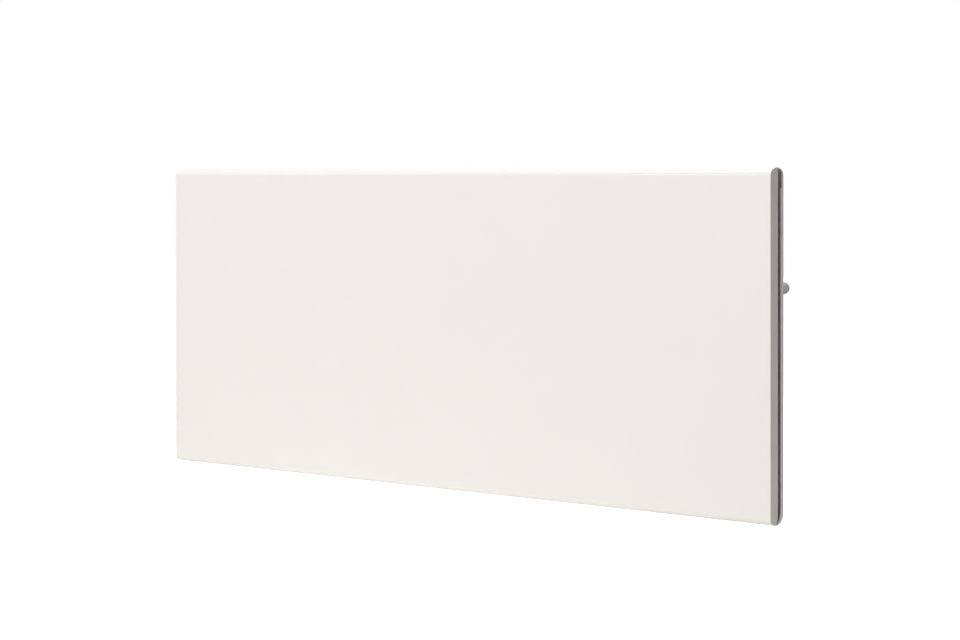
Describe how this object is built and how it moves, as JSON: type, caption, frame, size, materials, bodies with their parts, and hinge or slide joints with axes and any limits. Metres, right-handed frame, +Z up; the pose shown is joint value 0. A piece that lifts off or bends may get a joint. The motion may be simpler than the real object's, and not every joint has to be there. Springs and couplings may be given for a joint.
{
  "type": "wall-hung convector heater",
  "caption": "Slim flat wall-hung convector heater on a stand-off wall bracket, with a thermostat knob and a rocker switch behind one end.",
  "frame": {"origin": "centre of the wall bracket's screw-hole pattern, on the wall plane", "axes": "+X to the right seen from the room, +Y into the wall, +Z up"},
  "size_m": [0.853, 0.084, 0.393],
  "materials": {
    "white_coat": "satin powder coat",
    "zinc_steel": "zinc-plated sheet",
    "bright_steel": "drawn steel",
    "aluminium": "extruded, as drawn",
    "ceramic": "unglazed white ceramic",
    "magnesia": "pressed powder",
    "resistance": "oxidised alloy wire",
    "white_plastic": "fine texture",
    "grey_plastic": "fine texture",
    "black_plastic": "moulded",
    "amber_lens": "clear lens",
    "rubber": "moulded",
    "copper": "brass tabs and tube",
    "brown_wire": "silicone sleeve",
    "blue_wire": "silicone sleeve",
    "green_wire": "silicone sleeve",
    "clear_sleeve": "natural nylon"
  },
  "bodies": {
    "wall_bracket": {"upright_left": "white_coat", "upright_right": "white_coat", "rail_top": "white_coat", "rail_bottom": "white_coat", "spacer_left": "white_coat", "spacer_right": "white_coat", "buffers": "rubber", "spring_catches": "bright_steel", "bracket_rivets": "zinc_steel"},
    "heater": {"front_panel": "white_coat", "back_panel": "white_coat", "stiffener_left": "zinc_steel", "stiffener_middle": "zinc_steel", "stiffener_right": "zinc_steel", "case_screws": "zinc_steel", "lid_screws": "zinc_steel", "box_fixings": "zinc_steel", "fixing_screws": "zinc_steel", "earth_screw": "zinc_steel", "cutout_rivets": "zinc_steel", "hanger_left": "zinc_steel", "hanger_right": "zinc_steel", "catch_lugs": "zinc_steel", "backing_plates": "zinc_steel", "thermostat_nut": "zinc_steel", "bulb_clip": "zinc_steel", "element_sheath": "bright_steel", "hanger_pins": "bright_steel", "element_fins": "aluminium", "heat_shield_left": "aluminium", "heat_shield_right": "aluminium", "element_bush_left": "ceramic", "element_bush_right": "ceramic", "end_beads": "ceramic", "insulation_fill": "magnesia", "resistance_wire": "resistance", "control_box": "white_plastic", "control_lid": "white_plastic", "terminal_block": "grey_plastic", "gland_body": "grey_plastic", "gland_cap": "grey_plastic", "gland_nut": "grey_plastic", "thermostat": "black_plastic", "switch_body": "black_plastic", "thermal_cutout": "black_plastic", "indicator_lamp": "amber_lens", "grommet": "rubber", "capillary_tube": "copper", "terminal_pins": "copper", "earth_terminal": "copper", "wire_live": "brown_wire", "wire_element": "brown_wire", "control_wires": "brown_wire", "wire_neutral": "blue_wire", "wire_earth": "green_wire", "wire_sleeves": "clear_sleeve"},
    "knob": {"knob": "white_plastic", "knob_shaft": "bright_steel"},
    "rocker": {"rocker": "black_plastic"}
  },
  "joints": [
    {"name": "heater_swing", "type": "hinge", "parent": "wall_bracket", "child": "heater", "pos_m": [0, -0.03, 0.122], "axis": [-1, 0, 0], "range_deg": [0, 15]},
    {"name": "knob_turn", "type": "hinge", "parent": "heater", "child": "knob", "pos_m": [0.4066, -0.0311, 0.0618], "axis": [-1, 0, 0], "range_deg": [0, 270]},
    {"name": "rocker_tip", "type": "hinge", "parent": "heater", "child": "rocker", "pos_m": [0.4015, -0.0311, 0.024], "axis": [0, -1, 0], "range_deg": [0, 16]}
  ]
}
